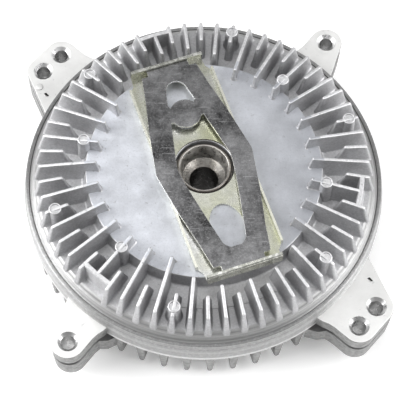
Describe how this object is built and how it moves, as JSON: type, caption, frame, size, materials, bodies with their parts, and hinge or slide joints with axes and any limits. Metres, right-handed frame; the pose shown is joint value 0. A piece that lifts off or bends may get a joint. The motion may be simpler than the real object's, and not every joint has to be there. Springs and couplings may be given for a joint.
{
  "type": "viscous fan clutch",
  "caption": "Round finned viscous fan clutch with a bimetal strip on its front, a bored steel hub and four fan lugs on its rim.",
  "frame": {"origin": "centre of the hub flange's rear face, on the turning axis", "axes": "+Z along the turning axis, out of the finned front cover; +X and +Y across the disc, with the front fins up"},
  "size_m": [0.1838, 0.1838, 0.0607],
  "materials": {
    "cast_aluminium": "as cast, lightly blasted",
    "rear_aluminium": "as cast",
    "zinc_steel": "yellow zinc plated sheet",
    "bimetal": "dark heat-tinted strip",
    "hub_steel": "turned, darkened",
    "bright_steel": "ground",
    "pressed_steel": "pressed sheet",
    "rotor_aluminium": "turned",
    "rubber": "matt black",
    "bush_plastic": "matt black",
    "cage_plastic": "moulded"
  },
  "bodies": {
    "hub": {"hub_shaft": "hub_steel", "rotor_disc": "rotor_aluminium", "rotor_snap_ring": "bright_steel", "bearing_inner_ring": "bright_steel"},
    "housing": {"rear_housing": "rear_aluminium", "front_cover": "cast_aluminium", "cover_seal": "rubber", "partition_plate": "pressed_steel", "valve_rivet": "bright_steel", "pin_seal": "rubber", "bimetal_holder": "zinc_steel", "holder_rivet_1": "bright_steel", "holder_rivet_2": "bright_steel", "holder_rivet_3": "bright_steel", "holder_rivet_4": "bright_steel", "bimetal_plate": "bimetal", "front_shaft_bush": "bush_plastic", "bearing_outer_ring": "bright_steel", "bearing_shield": "pressed_steel"},
    "cage": {"bearing_cage": "cage_plastic", "bearing_ball_1": "bright_steel", "bearing_ball_2": "bright_steel", "bearing_ball_3": "bright_steel", "bearing_ball_4": "bright_steel", "bearing_ball_5": "bright_steel", "bearing_ball_6": "bright_steel", "bearing_ball_7": "bright_steel", "bearing_ball_8": "bright_steel", "bearing_ball_9": "bright_steel"},
    "pin": {"control_pin": "bright_steel"},
    "lever": {"valve_lever": "bright_steel"}
  },
  "joints": [
    {"name": "housing_spin", "type": "hinge", "parent": "hub", "child": "housing", "pos_m": [0, 0, 0], "axis": [0, 0, 1], "continuous": true},
    {"name": "cage_spin", "type": "hinge", "parent": "hub", "child": "cage", "pos_m": [0, 0, 0.0189], "axis": [0, 0, 1], "continuous": true},
    {"name": "pin_slide", "type": "slide", "parent": "housing", "child": "pin", "axis": [0, 0, 1], "range_m": [0, 0.0009], "deforming": ["bimetal_plate"]},
    {"name": "lever_swing", "type": "hinge", "parent": "housing", "child": "lever", "pos_m": [-0.01489, 0.03927, 0.04085], "axis": [-0.9351, -0.3545, 0], "range_deg": [0, 3.8]}
  ],
  "couplings": [
    {"joint": "cage_spin", "follows": "housing_spin", "ratio": 0.6},
    {"joint": "lever_swing", "follows": "pin_slide", "rad_per_m": 71.429}
  ]
}
